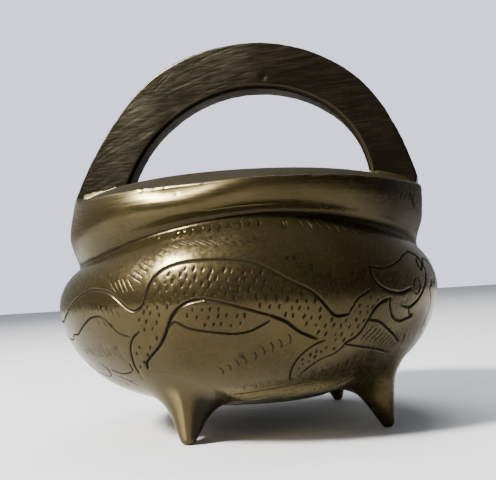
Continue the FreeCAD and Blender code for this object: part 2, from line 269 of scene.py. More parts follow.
HEAD_LINES = [
    (0.26, 0.22, [(46.6, 4.3), (47.2, 2.4), (48.7, 1.0), (51.6, -0.1), (54.7, -0.6), (57.6, -0.7),
        (61.4, -0.1)]),
    (0.22, 0.17, [(46.6, 4.3), (50.9, 3.8)]),
    (0.16, 0.12, [(50.9, 3.8), (54.4, 4.2), (58.4, 5.1), (63.4, 6.6), (67.5, 6.9), (70.2, 6.2)]),
    (0.24, 0.19, [(66.2, 7.2), (70.2, 6.2), (71.8, 4.8), (69.6, 3.3), (68.3, 4.6), (69.4, 5.6)]),
    (0.23, 0.18, [(73.0, 3.2), (72.8, 4.5), (75.2, 5.7), (79.4, 5.1), (80.4, 3.8), (82.4, 2.6)]),
    (0.22, 0.17, [(82.4, 2.6), (81.0, 1.2), (78.9, 0.6), (77.4, 1.4), (75.9, 0.4), (74.4, 0.1)]),
    (0.22, 0.17, [(72.6, 2.6), (71.4, 1.2), (70.1, 0.4), (68.1, -0.9), (66.1, -2.1), (63.7, -3.0),
        (61.3, -3.5), (57.7, -3.0)]),
    (0.22, 0.17, [(52.6, -1.5), (53.0, -2.9), (54.4, -4.7), (56.3, -5.6), (58.6, -6.0), (61.2, -5.7),
        (64.6, -5.2), (62.6, -4.9), (61.4, -3.7)]),
    (0.12, 0.08, [(73.4, -0.1), (76.2, -2.4), (76.6, -4.8), (75.4, -8.7)]),
]
CLOUD_LINES = [
    (0.15, 0.10, [(7.2, -21.7), (19.3, -20.2), (29.1, -18.9), (36.4, -17.9), (45.1, -16.9), (49.9, -16.3)]),
    (0.17, 0.12, [(51.7, -16.7), (49.6, -19.0), (47.0, -21.4)]),
    (0.16, 0.11, [(-58, -8.2), (-54.5, -11.2), (-48.6, -13.6), (-42.6, -14.9), (-39.2, -14.9), (-36.6, -13.8),
        (-36.1, -12.5), (-37.6, -11.5)]),
    (0.16, 0.11, [(-33.8, -12.9), (-30.4, -13.7), (-26.8, -13.6), (-23.6, -12.8), (-22.9, -11.2)]),
    (0.13, 0.08, [(-33.0, -14.6), (-29.5, -15.9), (-26.6, -17.4)]),
]
# Closed outlines that hold punched scales: row direction in degrees, spacing, mark length, corners.
SCALE_FIELDS = [
    (-8.0, 1.55, 0.50, [(-13.0, -1.4), (-10.6, 1.0), (-8.6, 4.0), (-4.4, 5.6), (3.8, 6.2), (10.5, 5.9),
        (17.6, 4.7), (24.3, 1.8), (30.1, -0.6), (34.0, -3.6), (37.6, -4.8), (41.0, -3.8), (42.6, -1.8),
        (46.2, -0.6), (50.0, -1.0), (46.6, -3.0), (44.0, -6.2), (39.0, -9.2), (33.0, -7.8), (26.8, -5.2),
        (19.8, -2.2), (9.0, 0.4), (3.6, 1.2), (-1.0, 0.6), (-5.2, -1.6), (-9.8, -6.2), (-14.0, -4.0),
        (-16.6, -3.2)]),
    (-4.0, 1.45, 0.45, [(-2.2, -2.6), (1.0, -0.8), (4.0, -0.6), (9.0, -1.5), (17.2, -3.5), (12.0, -4.9),
        (5.0, -4.6)]),
    (40.0, 1.25, 0.35, [(34.4, -9.0), (31.4, -9.8), (28.8, -11.2), (27.2, -12.8), (26.6, -15.6),
        (30.0, -13.5), (33.0, -11.6), (37.4, -10.5), (38.6, -9.9)]),
    (-70.0, 1.9, 0.5, [(-17.4, -6.6), (-19.4, -9.6), (-20.6, -13.0), (-20.8, -15.6), (-18.4, -13.4),
        (-14.6, -10.8), (-11.4, -8.6), (-13.0, -5.6)]),
]
# How far apart a cut is sampled, and the radius of the engraved band, in millimetres.
LINE_STEP = 0.1
BAND_RADIUS = 37.0


def curve_through(points):
    """A smooth line through (azimuth, reach) points, sampled at even steps on the belly."""
    spots = np.array(points, float)
    ends = [2 * spots[0] - spots[1], *spots, 2 * spots[-1] - spots[-2]]
    samples = []
    for before, here, there, after in zip(ends, ends[1:], ends[2:], ends[3:]):
        span = there - here
        length = math.hypot(math.radians(span[0]) * BELLY_RADIUS * 0.9, span[1])
        count = max(1, int(round(length / LINE_STEP)))
        part = (np.arange(count) / count)[:, None]
        square = part * part
        cube = square * part
        samples.append(
            0.5 * (2 * here + (there - before) * part + (2 * before - 5 * here + 4 * there - after) * square)
            + 0.5 * (3 * here - 3 * there + after - before) * cube
        )
    samples.append(ends[-2][None])
    return np.concatenate(samples)


def place_mark(azimuth, reach, tilt, length, bend=0.0):
    """A short stroke centred on the belly; tilt is its angle from level, in degrees, and bend bows it."""
    along = np.linspace(-0.5, 0.5, 5) * length
    across = bend * (1.0 - (2.0 * along / length) ** 2)
    radius = np.linalg.norm(belly(azimuth, reach)[0][:2])
    return [(azimuth + math.degrees(dx / radius), reach + dz) for dx, dz in zip(*spin(tilt, along, across))]


def inside(point, corners):
    """Whether a point lies in a closed outline."""
    crossings = 0
    for (x0, y0), (x1, y1) in zip(corners, corners[1:] + corners[:1]):
        if (y0 > point[1]) != (y1 > point[1]):
            crossings += point[0] < x0 + (point[1] - y0) / (y1 - y0) * (x1 - x0)
    return crossings % 2 == 1


def scale_marks(random):
    """Punched scales: short slanting marks in uneven rows inside each field."""
    marks = []
    for tilt, spacing, length, corners in SCALE_FIELDS:
        centre = np.mean(corners, axis=0)
        for row in range(-16, 17):
            for column in range(-40, 41):
                along = (column + 0.5 * (row % 2)) * spacing + random.uniform(-0.34, 0.34)
                across = row * spacing * 0.88 + random.uniform(-0.26, 0.26)
                side, rise = spin(tilt, along, across)
                spot = (centre[0] + math.degrees(side / BAND_RADIUS), centre[1] + rise)
                weight = random.uniform(0.7, 1.15)
                slant = random.uniform(58.0, 84.0)
                if inside(spot, corners):
                    stroke = place_mark(*spot, slant, length * weight, 0.05)
                    marks.append((0.27 * weight, 0.09 * weight, stroke))
    return marks


def row_marks(start, end, count, tilt, length, width, depth, random, bend=0.0):
    """Strokes spaced along a line on the belly, each a little different."""
    marks = []
    for part in np.linspace(0.0, 1.0, count):
        azimuth = start[0] + (end[0] - start[0]) * part
        reach = start[1] + (end[1] - start[1]) * part
        stroke = place_mark(
            azimuth + random.uniform(-0.25, 0.25),
            reach + random.uniform(-0.15, 0.15),
            tilt + random.uniform(-6.0, 6.0),
            length * random.uniform(0.8, 1.15),
            bend,
        )
        marks.append((width, depth * random.uniform(0.75, 1.1), stroke))
    return marks


def engraving():
    """Every cut on one half of the bowl."""
    random = np.random.RandomState(5)
    cuts = [(1.2 * width, 1.4 * depth, line) for width, depth, line in DRAGON_LINES + CLOUD_LINES]
    cuts += [(1.45 * width, 1.7 * depth, line) for width, depth, line in HEAD_LINES]
    cuts += scale_marks(random)
    eye = [(65.1 + 1.85 * math.sin(turn) + 0.5 * math.cos(turn), 0.4 + 1.5 * math.cos(turn))
           for turn in np.linspace(0.0, 2.0 * math.pi, 13)]
    cuts.append((0.21, 0.18, eye))
    rows = [
        # hatching above the tail, climbing to the shoulder
        ((-56.0, 2.4), (-45.0, 4.0), 6, 122.0, 1.7, 0.12, 0.06, 0.0),
        ((-43.5, 4.4), (-32.0, 5.6), 7, 126.0, 1.8, 0.12, 0.06, 0.0),
        ((-22.2, 3.7), (-15.9, 3.7), 5, 128.0, 2.4, 0.15, 0.10, 0.0),
        ((-14.8, 4.8), (-12.2, 7.2), 4, 150.0, 2.5, 0.16, 0.11, 0.0),
        ((-11.3, 8.4), (-5.0, 10.2), 4, 156.0, 2.0, 0.15, 0.09, 0.0),
        ((-3.0, 10.6), (18.5, 10.2), 13, 150.0, 2.5, 0.13, 0.05, 0.0),
        # hatching above the neck
        ((23.3, 5.6), (26.9, 5.0), 3, 112.0, 1.7, 0.13, 0.06, 0.0),
        ((28.7, 4.0), (32.4, 2.4), 3, 110.0, 1.7, 0.14, 0.08, 0.0),
        ((34.0, 1.4), (37.6, 1.2), 4, 100.0, 1.8, 0.18, 0.13, 0.0),
        ((39.2, 1.4), (44.4, 3.0), 5, 66.0, 1.7, 0.15, 0.10, 0.0),
        # hatching under the tail and inside it
        ((-43.0, -8.7), (-24.3, -8.7), 17, 96.0, 1.8, 0.12, 0.08, 0.0),
        ((-44.0, -0.8), (-36.0, 1.2), 7, 118.0, 1.8, 0.13, 0.07, 0.0),
        ((-31.0, 0.6), (-20.0, -1.4), 7, 115.0, 0.9, 0.15, 0.08, 0.0),
        ((-28.0, -2.6), (-23.0, -3.4), 3, 112.0, 1.0, 0.20, 0.13, 0.0),
        # crescents in the field under the body
        ((5.3, -13.4), (12.4, -11.2), 4, 96.0, 1.5, 0.19, 0.15, -0.28),
        ((15.0, -10.2), (24.2, -7.5), 5, 100.0, 1.5, 0.19, 0.15, -0.28),
        ((11.1, -18.9), (22.6, -17.7), 4, 84.0, 1.1, 0.14, 0.08, -0.22),
        ((30.3, -16.7), (48.0, -13.4), 8, 82.0, 1.4, 0.15, 0.10, -0.26),
        # the row under the collar
        ((-28.0, 12.6), (-11.0, 13.2), 6, 84.0, 1.2, 0.17, 0.18, -0.1),
        ((-4.8, 13.5), (-0.7, 13.6), 3, 84.0, 1.5, 0.23, 0.40, -0.12),
        ((2.4, 14.0), (10.5, 14.2), 4, 82.0, 1.6, 0.25, 0.45, -0.18),
        ((13.6, 14.1), (18.8, 14.0), 3, 88.0, 1.5, 0.27, 0.50, -0.14),
        ((25.0, 13.5), (25.9, 13.5), 2, 86.0, 1.4, 0.25, 0.45, -0.2),
        ((29.8, 13.4), (48.3, 11.8), 8, 103.0, 1.9, 0.21, 0.42, -0.32),
        # feathering inside the crest and the jaw
        ((59.4, 1.2), (61.6, 3.4), 5, 14.0, 1.6, 0.11, 0.07, 0.1),
        ((55.4, -3.0), (60.0, -2.4), 6, 66.0, 1.1, 0.11, 0.07, 0.0),
        ((55.6, -4.8), (58.4, -5.0), 3, 70.0, 0.9, 0.11, 0.07, 0.0),
        # four arcs above the foot
        ((51.2, -12.8), (53.4, -14.6), 4, 18.0, 1.9, 0.12, 0.07, 0.3),
    ]
    for start, end, count, tilt, length, width, depth, bend in rows:
        cuts += row_marks(start, end, count, tilt, length, 0.85 * width, 0.4 * depth, random, bend)
    # slanting dashes in the fin, in rows that fan out from its root
    for row in range(5):
        for column in range(9):
            part = (column + 1.0) / 10.0
            top = np.array([46.6, -5.9]) * (1 - part) + np.array([62.0, -11.0]) * part
            low = np.array([42.4, -9.2]) * (1 - part) + np.array([60.5, -12.0]) * part
            if row / 4.0 <= 1.0 - 0.35 * part:
                spot = top + (low - top) * (0.12 + 0.76 * row / 4.0)
                cuts.append((0.15, 0.11, place_mark(spot[0], spot[1], 58.0 + random.uniform(-6, 6), 0.75)))
    return cuts


def cut_rails(line, width):
    """Mesh points along a cut: its bottom, its walls, its lips, and round both ends."""
    places = belly(line[:, 0], line[:, 1])[0]
    radius = np.hypot(places[:, 0], places[:, 1])
    flow = np.gradient(line, axis=0) if len(line) > 2 else np.repeat(line[1:] - line[:1], 2, axis=0)
    flow = np.stack([np.radians(flow[:, 0]) * radius, flow[:, 1]], -1)
    flow /= np.maximum(np.linalg.norm(flow, axis=1), 1e-9)[:, None]
    side = np.stack([-flow[:, 1], flow[:, 0]], -1)
    points = []
    for share in (0.0, -0.5, 0.5, -1.0, 1.0, -1.5, 1.5):
        offset = side * width * share
        points.append(line + np.stack([np.degrees(offset[:, 0] / radius), offset[:, 1]], -1))
    for end, way in ((0, -1.0), (-1, 1.0)):
        for ahead, aside in ((0.7, 0.0), (0.6, 0.6), (0.6, -0.6), (1.4, 0.0), (1.1, 0.9), (1.1, -0.9)):
            offset = (way * ahead * flow[end] + aside * side[end]) * width
            points.append((line[end] + [math.degrees(offset[0] / radius[end]), offset[1]])[None])
    return np.concatenate(points)


# Where the belly's skin is slit to lie flat as a strip, its plain triangles' size, and the strip's top.
SEAM = -78.0
SKIN_STEP = 1.25
PLANE_TOP = 13.5
GIRTH = 2.0 * math.pi * BELLY_RADIUS


def to_plane(azimuth, reach):
    """The belly unrolled to a flat strip with a straight top edge, for triangulation."""
    across = np.radians((np.asarray(azimuth) - SEAM) % 360.0) * BELLY_RADIUS
    return across, np.where(reach > 0, reach * PLANE_TOP / shoulder(azimuth)[1], reach)


def from_plane(across, up):
    """The place on the belly of a point on the strip."""
    azimuth = np.degrees(across / BELLY_RADIUS) + SEAM
    return azimuth, np.where(up > 0, up * shoulder(azimuth)[1] / PLANE_TOP, up)


def cut_samples(cuts):
    """Fine points along every cut, the width and depth there, and the mesh points that the cuts need."""
    samples, sizes, rails = [], [], []
    for width, depth, line in cuts:
        fine = curve_through(line)
        count = len(fine)
        is_long = count > 30
        taper = np.minimum(np.arange(count), np.arange(count)[::-1]) * LINE_STEP
        bite = 0.55 + 0.45 * ease(0.0, 1.2, taper) if is_long else np.ones(count)
        pace = 4 if is_long else 3
        samples.append(fine)
        sizes.append(np.stack([np.full(count, width), depth * bite], -1))
        rails.append(cut_rails(fine[::pace] if count > pace + 1 else fine[[0, -1]], width))
    return np.concatenate(samples), np.concatenate(sizes), np.concatenate(rails)


def skin_layout(rails, tree):
    """The strip's columns, points and triangles: fine along the cuts and plain elsewhere."""
    columns = int(round(GIRTH / SKIN_STEP))
    across = np.linspace(0.0, GIRTH, columns + 1)
    rows = int(round((PLANE_TOP - BASE_REACH) / SKIN_STEP))
    up = np.linspace(BASE_REACH, PLANE_TOP, rows + 1)
    edge = [(x, y) for y in (up[0], up[-1]) for x in across]
    edge += [(x, y) for x in (0.0, GIRTH) for y in up[1:-1]]
    rail_across, rail_up = to_plane(rails[:, 0], rails[:, 1])
    # the cuts' points keep off the strip's edges, plain ones off the cuts, and one point is kept per cell
    margin, clearance, cell = 0.15, 0.62, 0.075
    fits = (rail_up < PLANE_TOP - margin) & (rail_across > margin) & (rail_across < GIRTH - margin)
    detail = np.stack([rail_across[fits], rail_up[fits]], -1)
    field = np.array([(x + 0.5 * (row % 2) * GIRTH / columns, y)
                      for row, y in enumerate(up[1:-1]) for x in across[1:-1]])
    spots = belly(*from_plane(field[:, 0], field[:, 1]))[0]
    clear_of_cuts = [tree.find(spot)[2] > clearance for spot in spots.tolist()]
    flat = np.concatenate([np.array(edge), detail, field[clear_of_cuts]])
    cells = np.round(flat / cell).astype(np.int64)
    flat = flat[np.sort(np.unique(cells, axis=0, return_index=True)[1])]
    result = delaunay_2d_cdt([Vector(spot) for spot in flat.tolist()], [], [], 0, 1e-6)
    return across, np.array([tuple(spot) for spot in result[0]]), [tuple(face) for face in result[2]]


def cut_depths(spots, tree, sizes):
    """How deep each point of the smooth skin is cut, and how much dirt it holds."""
    depth, dirt_and_painted_light = np.zeros(len(spots)), np.zeros(len(spots))
    for index, spot in enumerate(spots.tolist()):
        _, nearest, distance = tree.find(spot)
        width, bite = sizes[nearest]
        if distance < width:
            depth[index] = -bite * (1.0 - distance / width)
            dirt_and_painted_light[index] = min(1.0, 2.2 * (1.0 - distance / width)) * min(1.0, 0.75 + 3.0 * bite)
        elif distance < 2.0 * width:
            depth[index] = 0.06 * bite * math.sin(math.pi * (distance / width - 1.0))
    return depth, dirt_and_painted_light


def make_bowl(material):
    """The bowl: its outside carries the engraving, its inside is plain, and both close at mouth and base."""
    cuts = engraving()
    turned = [(width, depth, [(a + 180.0, r) for a, r in line]) for width, depth, line in cuts]
    samples, sizes, rails = cut_samples(cuts + turned)
    tree = tree_of(belly(samples[:, 0], samples[:, 1])[0])
    across, flat, faces = skin_layout(rails[rails[:, 1] > BASE_REACH + 0.2], tree)
    azimuth, reach = from_plane(flat[:, 0], flat[:, 1])
    points, normals = belly_skin(azimuth, reach)
    depth, dirt_and_painted_light = cut_depths(belly(azimuth, reach)[0], tree, sizes)
    points = points + normals * depth[:, None]
    # painted reflection of the bright floor, paler round the underside
    dirt_and_painted_light -= 0.5 * ease(12.5, 9.0, points[:, 2]) * (dirt_and_painted_light == 0.0)

    # the inside: neck top, wall, floor round the casting hole, and back to the outside's lower edge
    ring, neck_reach = from_plane(across, PLANE_TOP)
    neck_radius, neck_height = crease(ring)
    inner = [
        belly_skin(ring, neck_reach)[0],
        polar(ring, neck_radius - 0.8, neck_height),
        polar(ring, neck_radius - BOWL_WALL - 0.3, neck_height - 0.6),
    ]
    for share in np.linspace(0.08, 0.97, 16):
        wall, out = belly(*from_plane(across, PLANE_TOP + (BASE_REACH - PLANE_TOP) * share))
        inner.append(wall - out * BOWL_WALL)
    inner += [polar(ring, BASE_HOLE, BASE_HEIGHT + rise) for rise in (2.2, 0.0)]
    inner.append(belly_skin(ring, BASE_REACH)[0])
    faces += grid_faces(len(inner), len(ring), first=len(points))
    points = np.concatenate([points, *inner])
    dirt_shade_and_sheen = np.pad(dirt_and_painted_light, (0, len(points) - len(dirt_and_painted_light)))
    return make_piece("bowl_engraved", points, faces, material, ["bowl"], dirt_shade_and_sheen)


# The collar.


def collar_edge(azimuth):
    """Radius and height of the collar's sharp edge: filed back on one side, swept up into the legs."""
    radius = RIM_RADIUS - 1.1 * bell(azimuth, -45.0, 42.0)
    radius += 0.85 * bell(azimuth, 90.0, 18.0) + 1.3 * bell(azimuth, -94.0, 13.0)
    radius -= 0.6 * bell(azimuth, -64.0, 9.0)
    height = RIM_HEIGHT + 0.5 * (bell(azimuth, 92.0, 20.0) + bell(azimuth, -75.0, 30.0))
    return radius, height + 3.4 * ease(42.0, 6.0, np.abs(azimuth + 90.0))


def collar_controls(azimuth):
    """Four Bezier controls (radius, height) of the collar's side, from the crease up to its edge."""
    low_radius, low_height = crease(azimuth)
    low_radius = low_radius + 0.1
    low_height = low_height + 0.15
    top_radius, top_height = collar_edge(azimuth)
    tall = top_height - low_height
    start = 2.6 + 0.6 * bell(azimuth, -14.0, 40.0)
    rise = 0.62 + 0.25 * (1.0 - crease_swing(azimuth)) + 0.35 * bell(azimuth, 95.0, 35.0)
    finish = tall * (0.36 + 0.16 * bell(azimuth, -35.0, 60.0))
    lean = 0.05 + 0.30 * bell(azimuth, -40.0, 55.0)
    return [
        (low_radius, low_height),
        (low_radius + start * np.cos(rise), low_height + start * np.sin(rise)),
        (top_radius + finish * np.sin(lean), top_height - finish * np.cos(lean)),
        (top_radius, top_height),
    ]


def collar_side(azimuth, part):
    """Radius and height of the collar's side, at a part of the way up from the crease."""
    weights = ((1 - part) ** 3, 3 * part * (1 - part) ** 2, 3 * part * part * (1 - part), part**3)
    return [sum(w * spot[axis] for w, spot in zip(weights, collar_controls(azimuth))) for axis in (0, 1)]


# The share of the collar's side that the fillet at the neck covers.
NECK_PART = 0.2

# Nicks in the edge: azimuth, width and depth; and pits in the side: azimuth, height, width and depth.
RIM_NICKS = [(-15.7, 0.4, 0.12), (-11.5, 0.3, 0.08), (-8.0, 0.35, 0.10), (3.5, 0.3, 0.08), (34.0, 0.4, 0.14),
             (58.0, 0.35, 0.16), (-33.0, 0.4, 0.12), (121.0, 0.5, 0.2), (163.0, 0.4, 0.2),
             (-128.0, 0.5, 0.18)]
COLLAR_PITS = [(-51.0, 43.4, 0.45, 0.12), (-4.0, 44.9, 0.3, 0.06), (21.0, 43.3, 0.35, 0.07),
               (101.0, 42.2, 0.5, 0.15), (152.0, 44.0, 0.4, 0.1), (-140.0, 43.0, 0.45, 0.12)]

# How far up the collar's side its rings lie, and how many rings the ledge has.
SIDE_PARTS = np.linspace(0.0, 1.0, 46)
SIDE_ROWS = len(SIDE_PARTS)
LEDGE_ROWS = 18
# Rings of the lip and the mouth: how far each lies outside the mouth's radius, and how far below the lip.
MOUTH_LINE = [(LIP_WIDTH - 0.1, 0.0), (0.5 * LIP_WIDTH, 0.0), (0.4, 0.0), (0.12, 0.1), (0.0, 0.4), (0.0, 1.6),
              (0.0, 2.6), (0.2, 2.8), (3.0, 3.8), (6.0, 5.2)]


def collar_rings(azimuth):
    """The smooth collar, ring by ring: its side, sharp edge, ledge and mouth, and back down to the crease."""
    (low_radius, low_height), _, _, (top_radius, top_height) = collar_controls(azimuth)
    rings = [collar_side(azimuth, part) for part in SIDE_PARTS]
    rings += [[top_radius - 0.07, top_height + 0.13], [top_radius - 0.26, top_height + 0.24]]
    for part in np.linspace(0.0, 1.0, LEDGE_ROWS):
        radius = (top_radius - 0.45) * (1 - part) + (LIP_RADIUS + 0.25) * part
        rise = (top_height + 0.3) * (1 - part) + (LIP_HEIGHT - 0.12) * part
        rings.append([radius, rise + 0.25 * math.sin(math.pi * part)])
    rings += [[MOUTH_RADIUS + out, LIP_HEIGHT - drop] for out, drop in MOUTH_LINE]
    rings.append([low_radius + 0.7, np.maximum(low_height + 1.6, 41.5)])
    tail = ((0.6, 1.4), (1.6, 0.3), (1.2, -0.05))
    rings += [[low_radius - inset, low_height + rise] for inset, rise in tail]
    return np.stack([polar(azimuth, radius, height) for radius, height in rings])


def make_collar(material):
    """The collar: turned, then filed, dented and nicked by hand, with painted shade along its crease and its
    right side, a darkened ledge, and a painted highlight along its edge at the front left.
    """
    azimuth = np.linspace(-180.0, 180.0, 720, endpoint=False)
    points = collar_rings(azimuth)
    low_height, top_height = crease(azimuth)[1] + 0.15, collar_edge(azimuth)[1]
    around = np.broadcast_to(azimuth, points.shape[:2])
    outward = polar(around, np.ones_like(around), 0.0 * around)
    height = points[..., 2]
    edge_end = SIDE_ROWS + 2
    ledge_end = edge_end + LEDGE_ROWS
    side = np.zeros_like(height)
    side[:SIDE_ROWS] = ease(NECK_PART + 0.05, NECK_PART + 0.4, SIDE_PARTS)[:, None]
    ledge = np.zeros_like(height)
    ledge[SIDE_ROWS:ledge_end] = 1.0

    # dents, turning lines, and a rough patch at the right leg with one long scratch
    turning = 0.007 * Ripples(22, 0.35, 1.0, stretch=(60.0, 60.0, 1.0))(points)
    grain = Ripples(23, 0.7, 2.0, count=40)(points)
    rough = bell(around, 78.0, 17.0) * ease(40.8 + 0.09 * np.abs(around - 92.0), 43.2, height)
    scratch = 0.22 * np.exp(-(((around - 76.0) * 0.5 - (43.2 - height)) / 0.35) ** 2)
    scratch = scratch * bell(around, 76.0, 4.0) * ease(1.6, 0.8, np.abs(height - 43.2))
    push = 0.06 * Ripples(21, 10.0, 26.0)(points) + turning * (1.0 - rough)
    push += 0.075 * rough * grain - scratch - 0.10
    # a shallow hollow under the edge at the front
    push -= 0.07 * np.exp(-(((top_height - height - 1.9) / 1.1) ** 2)) * bell(azimuth, 14.0, 26.0)
    for where, level, spread, deep in COLLAR_PITS:
        far = np.hypot((around - where) * math.radians(1.0) * RIM_RADIUS, height - level)
        push -= deep * np.exp(-((far / spread) ** 2))
    # a swelling at both legs, where the handle was brazed on and filed flush, and a fuller side below them
    push += 0.2 * bell(around, -89.0, 11.0) * ease(38.0, 44.0, height) + 0.2 * bell(around, 92.0, 20.0)
    push += 0.6 * bell(around, -78.0, 24.0) * np.exp(-(((height - 40.0) / 3.6) ** 2))
    push += 0.5 * bell(around, 103.0, 24.0) * np.exp(-(((height - 38.5) / 3.4) ** 2))
    # nicks in the sharp edge
    nick = sum(deep * bell(azimuth, where, spread) for where, spread, deep in RIM_NICKS)
    nick = nick * np.exp(-(((np.arange(len(points)) - SIDE_ROWS) / 2.2) ** 2))[:, None]
    # the side was filed back towards the edge at the front left
    filed = np.zeros((len(points), 1))
    filed[:edge_end] = 1.0
    filed[edge_end:ledge_end, 0] = np.linspace(1.0, 0.0, LEDGE_ROWS)
    above = np.clip(height - 41.4, 0.0, 5.2)
    filed = filed * bell(around, -1.0, 17.0) * above * above / (above + 0.8)
    points = points + outward * (push * side - 0.6 * nick - 0.46 * filed)[..., None]
    points[..., 2] += ledge * (0.05 * Ripples(24, 3.0, 9.0)(points) + 0.03 * grain) - nick

    # painted shade just above the crease, and dirt in the scratch
    dirt_shade_and_sheen = np.clip(1.0 - (height - low_height) / 0.9, 0.0, 1.0) * side + 0.8 * np.clip(scratch * 4, 0, 1)
    # painted shade over the right side
    dirt_shade_and_sheen[:SIDE_ROWS] += np.minimum(0.75, bell(azimuth, 80.0, 30.0))
    # the ledge is darkened
    dirt_shade_and_sheen[edge_end:ledge_end] = 1.0
    # a painted highlight along the top of the side at the front left
    dirt_shade_and_sheen[SIDE_ROWS - 1] = -0.5 * bell(azimuth, -22.0, 24.0)
    faces = grid_faces(len(points), len(azimuth), True, True)
    return make_piece("collar_turned", points, faces, material, ["collar"], dirt_shade_and_sheen)


# The handle.


def round_centre(centre, turn, radius):
    """Points (x, z) at turns in degrees, clockwise from the top, and radii round a centre."""
    turn = np.radians(turn)
    return np.stack([np.sin(turn), np.cos(turn)], -1) * radius[..., None] + centre


def arch_edges(part):
    """Outer and inner edge points (x, z) of the handle, from the left foot at 0 to the right foot at 1."""
    turn = -91.5 + 183.0 * part
    outer = ARCH_RADIUS + 0.5 * bell(turn, -30.0, 16.0) - 0.16 * bell(turn, 0.0, 22.0)
    outer += 0.3 * bell(turn, -52.0, 16.0) + 0.25 * bell(turn, 50.0, 18.0)
    # both legs flare, and draw in again at their feet
    outer += 4.7 * (np.clip(-turn - 47.0, 0.0, 38.0) / 38.0) ** 1.8
    outer -= 2.4 * (np.clip(-turn - 85.0, 0.0, None) / 6.5) ** 1.2
    outer += 1.7 * (np.clip(turn - 62.0, 0.0, 24.0) / 28.0) ** 2
    outer -= 1.3 * (np.clip(turn - 86.0, 0.0, None) / 5.5) ** 1.2
    gap_turn = GAP_START + GAP_SWEEP * part
    gap = GAP_RADIUS + 0.15 - 0.6 * (np.clip(-gap_turn - 50.0, 0.0, None) / 30.0) ** 2
    gap -= 2.7 * (np.clip(gap_turn - 38.0, 0.0, None) / 38.0) ** 1.7
    return round_centre(ARCH_CENTRE, turn, outer), round_centre(GAP_CENTRE, gap_turn, gap)


def narrow_side(share, way, corner, turns):
    """One narrow side's section with rounded corners, front to back: share of the width, lift and depth."""
    bends = [(math.sin(turn), 1.0 - math.cos(turn)) for turn in np.radians(turns)]
    front = [(corner * lift, corner * depth - HALF_THICK) for lift, depth in bends]
    wall = [(corner, level) for level in np.linspace(corner - HALF_THICK, HALF_THICK - corner, 12)]
    back = [(lift, -depth) for lift, depth in front[::-1]]
    return [(share, way * lift, depth) for lift, depth in front + wall + back]


# Scratches on the front face: both ends (x, z), width and depth; and the casting pit near the crown.
GOUGES = [((-17.6, 73.6), (-13.9, 76.4), 0.16, 0.032), ((-16.9, 75.0), (-14.6, 76.9), 0.12, 0.024),
          ((-7.8, 78.2), (-5.0, 79.3), 0.15, 0.028), ((-28.0, 62.3), (-22.6, 65.0), 0.10, 0.016),
          ((-31.2, 57.2), (-25.5, 60.2), 0.10, 0.016), ((-3.0, 75.0), (2.4, 75.9), 0.09, 0.014),
          ((-33.9, 53.0), (-28.9, 55.4), 0.11, 0.018)]
PIT_X, PIT_Z, PIT_WIDTH, PIT_DEPTH = 7.4, 73.1, 0.7, 0.14


